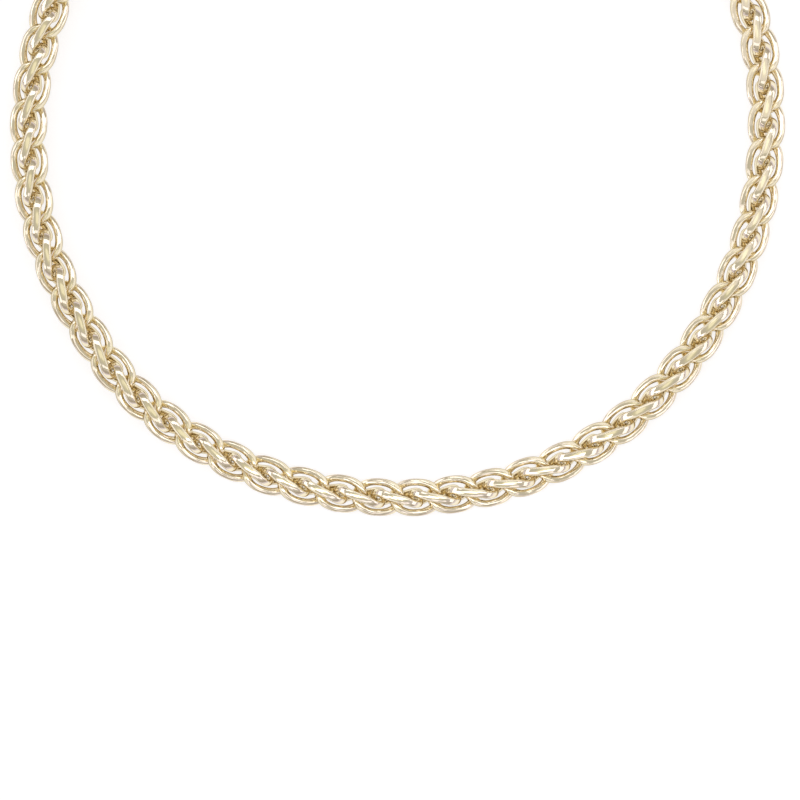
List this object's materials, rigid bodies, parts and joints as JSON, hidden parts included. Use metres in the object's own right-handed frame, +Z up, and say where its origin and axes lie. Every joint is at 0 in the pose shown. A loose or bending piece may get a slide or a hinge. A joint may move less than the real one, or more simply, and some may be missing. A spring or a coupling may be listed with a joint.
{
  "type": "wheat chain necklace",
  "caption": "Wheat chain necklace of intermeshed twisted oval links in polished yellow metal, closed in a round loop that lies flat, with a plain barrel clasp at the back.",
  "frame": {"origin": "on the surface that the chain lies on, in the middle of the loop, half way between the front of the chain and the back of the clasp", "axes": "+Z up from the surface, towards the picture's camera; +Y towards the clasp, which is up in the picture; +X to the right in the picture"},
  "size_m": [0.1354, 0.1343, 0.0065],
  "materials": {
    "gold": "polished yellow gold"
  },
  "bodies": {
    "root": {"chain_left": "gold", "chain_right": "gold", "clasp": "gold"}
  },
  "joints": []
}
